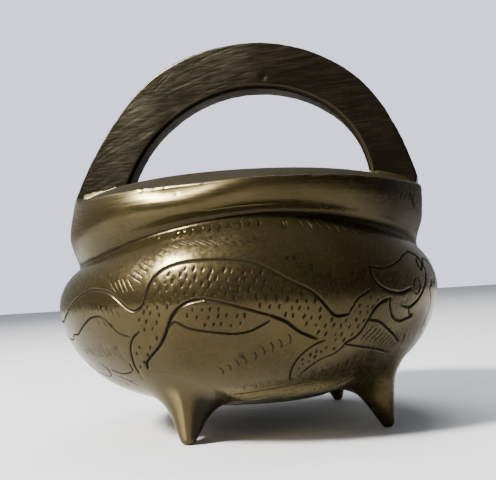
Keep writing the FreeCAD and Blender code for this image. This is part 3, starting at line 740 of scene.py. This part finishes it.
def make_handle(material):
    """The handle: a flat bar filed by hand, with its front and back faces carrying the file marks."""
    part = np.linspace(0.0, 1.0, 440)
    outer, inner = arch_edges(part)
    across = outer - inner
    width = np.linalg.norm(across, axis=1)
    across = across / width[:, None]
    face = np.linspace(0.0, 1.0, 46)
    loop = [(share, 0.0, -HALF_THICK) for share in face]
    loop += narrow_side(1.0, 1.0, OUTER_CORNER, (30.0, 60.0))
    loop += [(share, 0.0, HALF_THICK) for share in face[::-1]]
    loop += narrow_side(0.0, -1.0, INNER_CORNER, (12.0, 24.0, 36.0, 48.0, 60.0, 75.0))[::-1]
    share, lift, depth = np.array(loop).T
    span = (width - OUTER_CORNER - INNER_CORNER)[:, None] * share + INNER_CORNER + lift
    # the loop's inside slants, so that it narrows towards the front over the left leg and the crown
    slant = 1.9 * ease(45.0, -60.0, GAP_START + GAP_SWEEP * part)[:, None]
    span -= slant * (0.5 - depth / HANDLE_THICK) * (1.0 - share) ** 2
    plan = inner[:, None] + across[:, None] * span[..., None]
    points = np.stack([plan[..., 0], np.broadcast_to(depth, span.shape), plan[..., 1]], -1)
    x, z = points[..., 0], points[..., 2]

    # file marks run along the bar, broken up in patches
    along, over = spin(0.26 * np.clip(x, -34.0, 34.0) - 11.0, x, z - 46.0)
    strokes = np.stack([along / 14.0, points[..., 1], over], -1)
    marks = 0.019 * Ripples(32, 0.35, 1.1, count=40)(strokes) + 0.03 * Ripples(33, 1.2, 3.2)(strokes)
    marks *= 0.35 + 0.65 * ease(-0.4, 0.9, Ripples(34, 4.0, 11.0)(points))
    marks += 0.08 * Ripples(35, 9.0, 22.0)(points) - 0.1
    for (x0, z0), (x1, z1), wide, deep in GOUGES:
        length = math.hypot(x1 - x0, z1 - z0)
        way_x, way_z = (x1 - x0) / length, (z1 - z0) / length
        run = np.clip((x - x0) * way_x + (z - z0) * way_z, 0.0, length)
        far = np.hypot(x - x0 - run * way_x, z - z0 - run * way_z)
        marks -= deep * np.exp(-((far / wide) ** 2)) * (depth < 0.0)
    marks -= PIT_DEPTH * np.exp(-((np.hypot(x - PIT_X, z - PIT_Z) / PIT_WIDTH) ** 2)) * (depth < 0.0)
    flat = 1.0 - np.abs(lift) / np.where(share > 0.5, OUTER_CORNER, INNER_CORNER)
    points[..., 1] += marks * flat * np.sign(depth)
    # the narrow sides: filed lengthwise, ragged where the casting flash was broken off the gap's edge
    ragged = 0.04 * Ripples(31, 1.0, 6.0)(points) + 0.02 * Ripples(36, 0.8, 3.0, count=40)(points)
    near_side = np.clip(1.0 - np.minimum(share, 1.0 - share) * 12.0, 0.0, 1.0)
    shift = ragged * near_side * np.where(share > 0.5, 1.0, -1.0)
    points += shift[..., None] * np.insert(across, 1, 0.0, axis=1)[:, None]

    # a painted highlight on the worn outer edge of the left shoulder; painted shade inside the loop and towards
    # the right
    turn = np.degrees(np.arctan2(x - ARCH_CENTRE[0], z - ARCH_CENTRE[1]))
    worn_edge_sheen = (share > 0.5) & (lift > 0.0) & (np.abs(depth) > HALF_THICK - OUTER_CORNER - 0.01)
    dirt_shade_and_sheen = 0.40 * ease(-24.0, 6.0, x) - 0.4 * worn_edge_sheen * bell(turn, -40.0, 16.0)
    dirt_shade_and_sheen = np.maximum(dirt_shade_and_sheen, np.where(share < 0.5, ease(-0.02, 0.2, -lift / INNER_CORNER), 0.0))
    faces = grid_faces(len(part), len(loop), False, True) + end_caps(len(part), len(loop))
    return make_piece("handle_filed", points, faces, material, ["handle"], dirt_shade_and_sheen)


# The feet.


def belly_gap(points):
    """Distance outside the belly's underside and flank."""
    radius = np.hypot(points[..., 0], points[..., 1])
    height = points[..., 2]
    under = np.hypot(radius - UNDER_CENTRE, height - UNDER_TOP) - UNDER_CURVE
    flank = np.hypot(radius - FLANK_CENTRE, height - BELLY_HEIGHT) - FLANK_CURVE
    turn = np.arctan2(UNDER_TOP - height, radius - UNDER_CENTRE)
    return np.where(radius < UNDER_CENTRE, BASE_HEIGHT - height, np.where(turn > FLANK_TURN, under, flank))


FEET = [
    # name, azimuth, splay, slope of the side, width of the blend into the belly, tip radius, turn of the
    # painted highlight and shade
    ("foot_front_right", FEET_ANGLE, 17.0, 19.5, 3.6, 1.3, 22.0),
    ("foot_rear_right", FEET_ANGLE + 90.0, 13.0, 20.0, 4.5, 1.3, 22.0),
    ("foot_rear_left", FEET_ANGLE + 180.0, 10.0, 20.0, 4.5, 1.3, 22.0),
    ("foot_front_left", FEET_ANGLE + 268.8, 10.0, 24.0, 4.0, 1.7, 26.0),
]
FOOT_ROWS, FOOT_COLUMNS = 64, 96


def trace_sweep(gap_at, tip_radius, blend):
    """The lines from a foot's tip out to the plain belly, as even (distance from the axis, height) pairs.

    For such pairs, gap_at gives the distance outside the shape and how far the blend has run out.
    """
    spot = np.tile([0.02, -tip_radius], (FOOT_COLUMNS, 1))
    heading = np.zeros(FOOT_COLUMNS)
    done = np.zeros(FOOT_COLUMNS, bool)
    step, small = 0.25, 0.01
    asides = ([small, 0.0], [0.0, small])
    trail = []
    while len(trail) < 160 and not done.all():
        trail.append(spot)
        ahead = spot + step * np.stack([np.cos(heading), np.sin(heading)], -1)
        for _ in range(4):
            value, beyond = gap_at(ahead)
            slope = np.stack([gap_at(ahead + aside)[0] - value for aside in asides], -1) / small
            ahead = ahead - slope * (value / ((slope**2).sum(-1) + 1e-9))[:, None]
        spot = np.where(done[:, None], spot, ahead)
        heading = np.where(done, heading, np.arctan2(slope[:, 0], -slope[:, 1]))
        done = done | (beyond > blend + 0.6)
    lines = []
    for line in np.stack(trail, 1):
        length = np.concatenate([[0.0], np.cumsum(np.linalg.norm(np.diff(line, axis=0), axis=1))])
        even = np.linspace(0.0, length[-1], FOOT_ROWS)
        lines.append(np.stack([np.interp(even, length, values) for values in line.T], -1))
    return np.stack(lines, 1)


def make_foot(name, azimuth, splay, slope, blend, tip_radius, sheen_turn, seed, material):
    """A cast foot: a round-tipped cone that flows into the belly with a hollow sweep."""
    out = polar(azimuth, 1.0, 0.0)
    tip = FEET_RADIUS * out + [FEET_CENTRE, 0.0, tip_radius - 0.16]
    splay, lean = math.radians(splay), math.radians(slope)
    axis = UP * math.cos(splay) - out * math.sin(splay)
    side = np.cross(axis, out)
    side /= np.linalg.norm(side)
    angle = np.linspace(0.0, 2.0 * math.pi, FOOT_COLUMNS, endpoint=False)[:, None]
    spoke = np.cos(angle) * np.cross(side, axis) + np.sin(angle) * side

    def place(pairs):
        """Points from distances from the foot's axis and heights along it."""
        return tip + spoke * pairs[..., :1] + axis * pairs[..., 1:]

    def gap(points):
        """Distance to the foot blended smoothly with the belly, and how far the blend has run out."""
        offset = points - tip
        high = offset @ axis
        wide = np.linalg.norm(offset - high[..., None] * axis, axis=-1)
        past, cone = spin(-slope, high, wide)
        foot = np.where(past > 0.0, cone, np.linalg.norm(offset, axis=-1)) - tip_radius
        body = belly_gap(points)
        mix = np.clip(blend - np.abs(foot - body), 0.0, None) / blend
        return np.minimum(foot, body) - mix * mix * blend / 4.0, foot - body

    smooth = place(trace_sweep(lambda pairs: gap(place(pairs)), tip_radius, blend))
    # the tip is worn flat, the sweep runs out along the belly's dents, and the foot is unevenly cast
    smooth[..., 2] = np.maximum(smooth[..., 2], 0.0)
    body_share = ease(0.0, blend, gap(smooth)[1])
    radial = np.hypot(smooth[..., 0], smooth[..., 1])
    down = np.arctan2(UNDER_TOP - smooth[..., 2], radial - UNDER_CENTRE)[..., None]
    normal = smooth * [1.0, 1.0, 0.0] / radial[..., None] * np.cos(down) - UP * np.sin(down)
    points = smooth + normal * (body_share * unevenness(smooth))[..., None]
    keep = (1.0 - body_share) * ease(0.3, 1.5, points[..., 2])
    cast = 0.05 * Ripples(40 + seed, 3.0, 9.0)(smooth) + 0.012 * Ripples(50 + seed, 0.5, 1.2)(smooth)
    points = points + (spoke * math.cos(lean) - axis * math.sin(lean)) * (keep * cast)[..., None]
    # the sweep's end dips under the bowl's skin, and closes at a point inside the bowl
    points[-1] -= 0.25 * normal[-1]
    points[-2] -= 0.04 * normal[-2]
    end = points[-1].mean(axis=0) - normal[-1].mean(axis=0)
    count = FOOT_ROWS * FOOT_COLUMNS
    last = count - FOOT_COLUMNS
    columns = range(FOOT_COLUMNS)
    faces = grid_faces(FOOT_ROWS, FOOT_COLUMNS, False, True)
    faces.append(tuple(columns))
    faces += [(last + column, last + (column + 1) % FOOT_COLUMNS, count) for column in columns]
    points = np.concatenate([points.reshape(-1, 3), end[None]])

    # a painted highlight down one side, painted shade on the other
    around = np.degrees(np.arctan2(points[:, 0] - tip[0], tip[1] - points[:, 1]))
    turned = (around - azimuth - sheen_turn + 180.0) % 360.0 - 180.0
    bright = np.exp(-((turned / np.where(turned < 0.0, 30.0, 9.0)) ** 2))
    sheen_and_shade = 0.8 * ease(14.0, 46.0, turned) * ease(105.0, 80.0, turned) - 0.40 * bright
    sheen_and_shade *= np.append(keep, 0.0)
    return make_piece(name + "_cast", points, faces, material, [name], sheen_and_shade)


# The closing disc, its solder, and the braze at the neck and the handle.


def make_base_disc(material):
    """The disc that closes the casting hole: hammered, with a ragged snipped edge."""
    azimuth = np.linspace(-180.0, 180.0, 360, endpoint=False)
    snips = Ripples(61, 1.0, 5.0, count=40)(polar(azimuth, 17.0, 6.0))
    # rings from the middle of the face to the edge and back over the hidden side: radius, snips, height
    face = [(radius, 0.0, 5.80) for radius in (0.2, 2.0, 4.0, 6.0, 8.0, 10.0, 12.0, 14.0, 15.5, 16.4, 16.9)]
    edge = [(17.15, 0.14, 5.86), (17.22, 0.15, 6.2), (17.18, 0.14, 6.75)]
    rings = face + edge + [(radius, 0.0, 6.92) for radius in (16.6, 8.0, 0.2)]
    points = np.stack([polar(azimuth, radius + share * snips, height) for radius, share, height in rings])
    hammer = 0.05 * Ripples(62, 3.0, 8.0)(points) + 0.02 * Ripples(63, 0.8, 2.0)(points)
    points[: len(face), :, 2] += hammer[: len(face)]
    faces = grid_faces(len(rings), len(azimuth), False, True) + end_caps(len(rings), len(azimuth))
    return make_piece("base_disc_hammered", points, faces, material, ["base_disc"])


def make_solder(material):
    """The bead of solder round the closing disc, lumpy and ragged."""
    thick, rough = 0.42, 0.35
    azimuth = np.linspace(-180.0, 180.0, 480, endpoint=False)
    turn = np.linspace(0.0, 2.0 * math.pi, 14, endpoint=False)[:, None]
    centre = polar(azimuth, 17.55, 6.72)
    ring = polar(azimuth, 1.0, 0.0)[:, None] * np.cos(turn) + 0.8 * UP * np.sin(turn)
    size = thick * (1.0 + rough * Ripples(91, 1.2, 5.0, count=40)(centre))
    points = centre[:, None] + ring * size[:, None, None]
    grit = 0.35 * rough * thick * Ripples(92, 0.35, 1.0, count=40)(points)
    points = points + ring * grit[..., None]
    faces = grid_faces(len(azimuth), len(turn), True, True)
    return make_piece("base_solder_ragged", points, faces, material, ["base_solder"])


def make_flakes(material):
    """Ragged flakes of old solder that stand along the disc's seam."""
    random = np.random.RandomState(71)
    corners = 5
    points, faces = [], []
    for _ in range(150):
        azimuth = random.uniform(-180.0, 180.0)
        length = random.uniform(0.5, 1.8)
        width = random.uniform(0.15, 0.4)
        radius = random.uniform(17.3, 18.1)
        level = random.uniform(6.1, 6.75)
        faces += grid_faces(4, corners, False, True, len(points)) + end_caps(4, corners, len(points))
        for along in (-0.5, -0.15, 0.2, 0.5):
            taper = 1.0 - 0.8 * (2.0 * along) ** 2
            spot = azimuth + math.degrees(along * length / radius)
            for corner in range(corners):
                turn = 2.0 * math.pi * corner / corners + random.uniform(-0.3, 0.3)
                thick = width * taper * random.uniform(0.6, 1.1)
                out, rise = thick * math.cos(turn), 0.6 * thick * math.sin(turn)
                points.append(polar(spot, radius + out, level + rise))
    return make_piece("solder_flakes", points, faces, material)


def make_neck_braze(material):
    """The braze that fills the crease: a shallow fillet from the belly's shoulder to the collar."""
    azimuth = np.linspace(-180.0, 180.0, 720, endpoint=False)
    curve, length = shoulder(azimuth)
    reach = length - 1.45 - 0.12 * Ripples(95, 3.0, 12.0)(polar(azimuth, 34.0, 0.0))
    start = belly_skin(azimuth, reach)[0]
    low = np.array([np.hypot(start[:, 0], start[:, 1]), start[:, 2]])
    high = np.array(collar_side(azimuth, NECK_PART))
    onward = np.array(collar_side(azimuth, NECK_PART + 0.01)) - high
    # the fillet leaves both sides along their slopes, which cross at its middle control
    turn, way = reach / curve, np.arctan2(onward[1], onward[0])
    gap = high - low
    cross = -np.sin(turn) * np.sin(way) - np.cos(turn) * np.cos(way)
    run = (gap[0] * np.sin(way) - gap[1] * np.cos(way)) / cross
    bend = low + run * np.array([-np.sin(turn), np.cos(turn)])
    parts = np.linspace(0.0, 1.0, 13)
    fillet = [(1 - part) ** 2 * low + 2 * part * (1 - part) * bend + part * part * high for part in parts]
    # both edges run on just under the two surfaces before they turn in
    under, under_normal = belly_skin(azimuth, reach - 0.8)
    over_radius, over_height = collar_side(azimuth, NECK_PART + 0.08)
    rings = fillet + [(over_radius - inset, over_height) for inset in (0.05, 0.9)]
    rings.append((bend[0] - 0.8, bend[1]))
    rows = [polar(azimuth, radius, height) for radius, height in rings]
    points = np.stack([under - 0.05 * under_normal, *rows, under - 0.8 * under_normal])
    # painted shade along the middle of the fillet, less on the left, and over the right side
    dirt_shade_and_sheen = np.zeros(points.shape[:2])
    middle = np.sin(np.linspace(0.1, math.pi - 0.1, len(fillet)))[:, None]
    dirt_and_painted_light = middle * (0.6 - 0.2 * bell(azimuth, -55.0, 30.0))
    dirt_shade_and_sheen[1 : len(fillet) + 1] = np.maximum(dirt_and_painted_light, 0.75 * bell(azimuth, 78.0, 30.0))
    faces = grid_faces(len(points), len(azimuth), True, True)
    return make_piece("neck_braze_fillet", points, faces, material, ["neck_braze"], dirt_shade_and_sheen)


def make_leg_braze(name, right, material, node):
    """A hollow fillet of braze along the front and the back of one leg's foot, on the ledge."""
    steps, columns = 60, 18
    back_x = 28.2
    front_x, outer_x = (back_x, 37.2) if right > 0 else (26.3, 37.6)
    face = HALF_THICK - 0.15
    ledge_slope = (LIP_HEIGHT - RIM_HEIGHT) / (RIM_RADIUS - LIP_RADIUS)
    lumps = Ripples(81 + (right > 0), 0.8, 3.5, count=40)
    points, faces = [], []
    for back, inner_x in ((-1.0, front_x), (1.0, back_x)):
        faces += grid_faces(steps, columns, False, True, len(points)) + end_caps(steps, columns, len(points))
        for part in np.linspace(0.0, 1.0, steps):
            x = inner_x + (outer_x - inner_x) * part
            inset = max(0.0, RIM_RADIUS - math.hypot(x, face))
            seat = min(LIP_HEIGHT, RIM_HEIGHT + ledge_slope * inset) + 0.1
            size = 1.9 * (0.55 + 0.45 * math.sin(math.pi * part) ** 0.5)
            if right < 0 and back < 0:
                # the front of the left leg is filled up to a line that falls outwards
                size = (51.9 + 0.25 * (35.8 - x) - seat) * (0.6 + 0.4 * ease(-0.05, 0.2, part))
            size *= 1.0 + 0.02 * float(lumps(np.array([x, back, 0.0])))
            hollow = [(size * (1.0 - math.cos(turn)), size * (1.0 - math.sin(turn)))
                      for turn in np.linspace(0.0, math.pi / 2.0, columns - 3)]
            for off, up in [(-0.5, size + 0.2), *hollow, (size + 0.15, -0.5), (-0.5, -0.5)]:
                points.append((right * x, back * (face + off), seat + up))
    points = np.array(points)
    reach = np.hypot(points[:, 0], points[:, 1])
    points[:, :2] *= np.minimum(1.0, 36.4 / reach)[:, None]
    points[:, 1] += 0.01 * Ripples(83, 0.5, 1.5)(points)
    # painted shade at both edges, plain in between
    dirt_and_painted_light = np.interp(np.arange(columns), (0, 1, 4, columns - 3, columns - 1), (0.9, 0.8, 0.0, 0.5, 0.9))
    return make_piece(name, points, faces, material, [node], np.tile(dirt_and_painted_light, 2 * steps))


# Materials. The colours of rubbed metal and painted highlights, of clean and tarnished metal, and of dirt and
# painted shade.
RUBBED_AND_SHEEN = (0.60, 0.48, 0.23)
CLEAN = (0.056, 0.042, 0.016)
PATINA = (0.037, 0.027, 0.010)
DIRT_AND_SHADE_COLOUR = (0.010, 0.0075, 0.004)


class Nodes:
    """Adds shader nodes to a material or a world."""

    def __init__(self, owner):
        owner.use_nodes = True
        self.tree = owner.node_tree

    def feed(self, socket, value):
        """Sets an input to a number, a vector or a colour, or joins another node's output to it."""
        if isinstance(value, bpy.types.NodeSocket):
            self.tree.links.new(value, socket)
        else:
            socket.default_value = (*value, 1.0) if socket.type == "RGBA" else value

    def add(self, kind, inputs=None, **settings):
        node = self.tree.nodes.new(kind)
        for key, value in settings.items():
            setattr(node, key, value)
        for key, value in (inputs or {}).items():
            self.feed(node.inputs[key], value)
        return node

    def noise(self, vector, scale, detail):
        inputs = {"Vector": vector, "Scale": scale, "Detail": detail, "Roughness": 0.6}
        return self.add("ShaderNodeTexNoise", inputs).outputs["Fac"]

    def ramp(self, value, low, high, start=0.0, end=1.0):
        inputs = {"Value": value, "From Min": low, "From Max": high, "To Min": start, "To Max": end}
        return self.add("ShaderNodeMapRange", inputs, interpolation_type="SMOOTHSTEP").outputs["Result"]

    def mix(self, share, first, second):
        inputs = {"Factor": share, "A": first, "B": second}
        return self.add("ShaderNodeMix", inputs, data_type="RGBA").outputs["Result"]

    def math(self, operation, first, second):
        return self.add("ShaderNodeMath", {0: first, 1: second}, operation=operation).outputs["Value"]

    def axes(self, coordinates):
        """The three parts of a kind of texture coordinates."""
        place = self.add("ShaderNodeTexCoord").outputs[coordinates]
        return self.add("ShaderNodeSeparateXYZ", {"Vector": place}).outputs


def new_material(name):
    """A material, its nodes, its shader's inputs, and its place on the object."""
    material = bpy.data.materials.new(name)
    nodes = Nodes(material)
    place = nodes.add("ShaderNodeTexCoord").outputs["Object"]
    return material, nodes, material.node_tree.nodes["Principled BSDF"].inputs, place


def brass(name, clean, patina, dark, rough, streaks=(1.0, 1.0, 1.0), bump=0.03):
    """Aged cast brass: brown-green patina over clean metal, darker with dirt in the hollows and painted shade,
    paler with rubbed metal and painted highlights.
    """
    material, nodes, shader, place = new_material(name)
    dirt_shade_and_sheen = nodes.add("ShaderNodeAttribute", attribute_name="dirt_shade_and_sheen").outputs["Fac"]
    blotch = nodes.noise(place, 60.0, 5.0)
    speck = nodes.noise(place, 900.0, 3.0)
    lengthwise = nodes.add("ShaderNodeMapping", {"Vector": place, "Scale": streaks}).outputs["Vector"]
    brushed = nodes.noise(lengthwise, 1400.0, 3.0)
    tint = nodes.mix(nodes.ramp(blotch, 0.36, 0.68), clean, patina)
    tint = nodes.mix(nodes.ramp(speck, 0.56, 0.74, 0.0, 0.08), tint, dark)
    # the attribute darkens for dirt and painted shade, and pales for rubbed metal and painted highlights and
    # reflections
    tint = nodes.mix(nodes.ramp(dirt_shade_and_sheen, 0.05, 0.9), tint, dark)
    tint = nodes.mix(nodes.ramp(dirt_shade_and_sheen, -0.1, -1.0), tint, RUBBED_AND_SHEEN)
    nodes.feed(shader["Base Color"], tint)
    dull = nodes.ramp(dirt_shade_and_sheen, 0.55, 1.0, 0.0, 0.45)
    base = nodes.math("ADD", nodes.ramp(blotch, 0.3, 0.7, rough - 0.05, rough + 0.08), dull)
    nodes.feed(shader["Roughness"], nodes.math("ADD", base, nodes.ramp(brushed, 0.3, 0.7, -0.04, 0.05)))
    nodes.feed(shader["Metallic"], nodes.ramp(dirt_shade_and_sheen, 0.2, 1.0, 0.68, 0.85))
    shader["Specular IOR Level"].default_value = 0.25
    shader["Specular Tint"].default_value = (0.88, 0.84, 0.74, 1.0)
    height = nodes.math("ADD", nodes.math("MULTIPLY", brushed, 0.6), nodes.math("MULTIPLY", speck, 0.4))
    relief = nodes.add("ShaderNodeBump", {"Height": height, "Strength": bump, "Distance": 0.00006})
    nodes.feed(shader["Normal"], relief.outputs["Normal"])
    return material


def paper(name, colour, painted_shade_colour):
    """Plain paper, with painted shade towards the front and the right, where the room is dim."""
    material, nodes, shader, place = new_material(name)
    x, y, _ = nodes.axes("Object")
    away = nodes.math("ADD", nodes.math("MULTIPLY", x, 0.85), nodes.math("MULTIPLY", y, -0.55))
    shade = tuple(part * 0.95 for part in colour)
    near = nodes.mix(nodes.ramp(nodes.noise(place, 40.0, 6.0), 0.35, 0.65), colour, shade)
    # painted shade: the paper darkens towards the front and the right
    nodes.feed(shader["Base Color"], nodes.mix(nodes.ramp(away, 0.06, 0.17), near, painted_shade_colour))
    shader["Roughness"].default_value = 0.85
    return material


# Stage, light and camera.


def set_camera():
    """A camera level with the belly, a little to the right and rolled."""
    data = bpy.data.cameras.new("camera")
    camera = bpy.data.objects.new("camera", data)
    SCENE.collection.objects.link(camera)
    data.sensor_width = 36.0
    data.lens = 51.545
    data.clip_start = 0.01
    data.clip_end = 20.0
    forward = Vector((-0.24640, 0.96625, 0.07516)).normalized()
    right = forward.cross(Vector(UP)).normalized()
    up = right.cross(forward)
    roll = -0.0637
    side = right * math.cos(roll) + up * math.sin(roll)
    top = -right * math.sin(roll) + up * math.cos(roll)
    place = Matrix((side, top, -forward)).transposed().to_4x4()
    place.translation = Vector((38.978, -150.366, 27.043)) * MM
    camera.matrix_world = place
    SCENE.camera = camera


def area_light(name, place, size, power, colour):
    """A square light that faces the bowl."""
    aim = Vector((0.0, 0.0, 0.03))
    data = bpy.data.lights.new(name, "AREA")
    data.size = size
    data.energy = power
    data.color = colour
    light = bpy.data.objects.new(name, data)
    SCENE.collection.objects.link(light)
    light.location = place
    light.rotation_euler = (aim - Vector(place)).to_track_quat("-Z", "Y").to_euler()
    return light


def make_stage():
    """A white sheet of paper under the bowl."""
    half = 3.0
    corners = [(-half, -half, 0.0), (half, -half, 0.0), (half, half, 0.0), (-half, half, 0.0)]
    mesh = bpy.data.meshes.new("floor")
    mesh.from_pydata(corners, [], [(0, 1, 2, 3)])
    floor = bpy.data.objects.new("floor", mesh)
    SCENE.collection.objects.link(floor)
    mesh.materials.append(paper("paper", (0.88, 0.88, 0.89), (0.12, 0.11, 0.10)))


def set_world():
    """A dim room seen in the metal's reflections, and a plain pale background behind the object."""
    world = bpy.data.worlds.new("room")
    nodes = Nodes(world)
    room = world.node_tree.nodes["Background"]
    x, y, z = nodes.axes("Generated")
    back = nodes.math("MULTIPLY", nodes.ramp(y, -0.1, 0.7), nodes.ramp(z, 0.7, 0.3))
    left = nodes.ramp(x, 0.35, -0.6)
    upper = nodes.math("MULTIPLY", nodes.ramp(z, 0.2, 0.8), nodes.math("ADD", left, 0.30))
    glow = 0.026
    for side, strength in ((back, 0.50), (upper, 0.62), (left, 0.05)):
        glow = nodes.math("ADD", nodes.math("MULTIPLY", side, strength), glow)
    nodes.feed(room.inputs["Strength"], glow)
    room.inputs["Color"].default_value = (0.86, 0.91, 1.0, 1.0)
    seen = nodes.add("ShaderNodeBackground", {"Color": (1.28, 1.32, 1.62)})
    camera_ray = nodes.add("ShaderNodeLightPath").outputs["Is Camera Ray"]
    shaders = {"Fac": camera_ray, 1: room.outputs["Background"], 2: seen.outputs["Background"]}
    choose = nodes.add("ShaderNodeMixShader", shaders)
    nodes.feed(world.node_tree.nodes["World Output"].inputs["Surface"], choose.outputs["Shader"])
    SCENE.world = world


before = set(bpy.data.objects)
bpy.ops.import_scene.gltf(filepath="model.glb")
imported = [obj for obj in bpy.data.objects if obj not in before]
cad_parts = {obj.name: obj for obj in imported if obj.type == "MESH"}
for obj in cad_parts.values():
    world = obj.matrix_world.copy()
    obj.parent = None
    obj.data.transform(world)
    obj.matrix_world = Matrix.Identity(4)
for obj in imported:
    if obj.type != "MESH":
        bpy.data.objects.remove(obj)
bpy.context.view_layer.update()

body_brass = brass("body_brass", CLEAN, PATINA, DIRT_AND_SHADE_COLOUR, 0.22)
collar_brass = brass("collar_brass", CLEAN, (0.038, 0.028, 0.010), DIRT_AND_SHADE_COLOUR, 0.25,
                     streaks=(0.15, 0.15, 2.0), bump=0.10)
# the handle's brass is far darker than the body's: darker patina, and painted shade over its front face
handle_brass = brass("handle_brass", (0.022, 0.0175, 0.0096), (0.0155, 0.0122, 0.0066), DIRT_AND_SHADE_COLOUR, 0.22,
                     streaks=(0.12, 1.0, 1.6), bump=0.15)
foot_brass = brass("foot_brass", CLEAN, PATINA, DIRT_AND_SHADE_COLOUR, 0.22)
base_brass = brass("base_brass", (0.08, 0.066, 0.038), (0.04, 0.034, 0.022), DIRT_AND_SHADE_COLOUR, 0.45)
# lighter and rougher than the body's brass, and used only on the left leg's fillet: a painted soft highlight
braze_highlight = brass("braze_highlight", (0.065, 0.051, 0.024), (0.052, 0.040, 0.018), DIRT_AND_SHADE_COLOUR, 0.40)
old_solder = brass("old_solder", (0.15, 0.14, 0.10), (0.04, 0.052, 0.036), (0.02, 0.02, 0.017), 0.5, bump=0.6)

make_bowl(body_brass)
make_collar(collar_brass)
make_handle(handle_brass)
for seed, foot in enumerate(FEET):
    make_foot(*foot, seed, foot_brass)
make_base_disc(base_brass)
make_solder(old_solder)
make_flakes(old_solder)
make_neck_braze(body_brass)
make_leg_braze("handle_braze_left_fillet", -1.0, braze_highlight, "handle_braze_left")
make_leg_braze("handle_braze_right_fillet", 1.0, body_brass, "handle_braze_right")

make_stage()
set_world()
set_camera()
# The window is two lights: one for matt surfaces, and one that shows only in reflections.
WINDOW = (-0.379, -0.421, 0.522)
area_light("window", WINDOW, 0.12, 17.0, (1.0, 0.98, 0.95)).visible_glossy = False
area_light("window_shine", WINDOW, 0.12, 54.0, (1.0, 0.98, 0.93)).visible_diffuse = False
area_light("sky", (-0.10, 0.25, 0.90), 0.6, 6.0, (0.95, 0.97, 1.0))
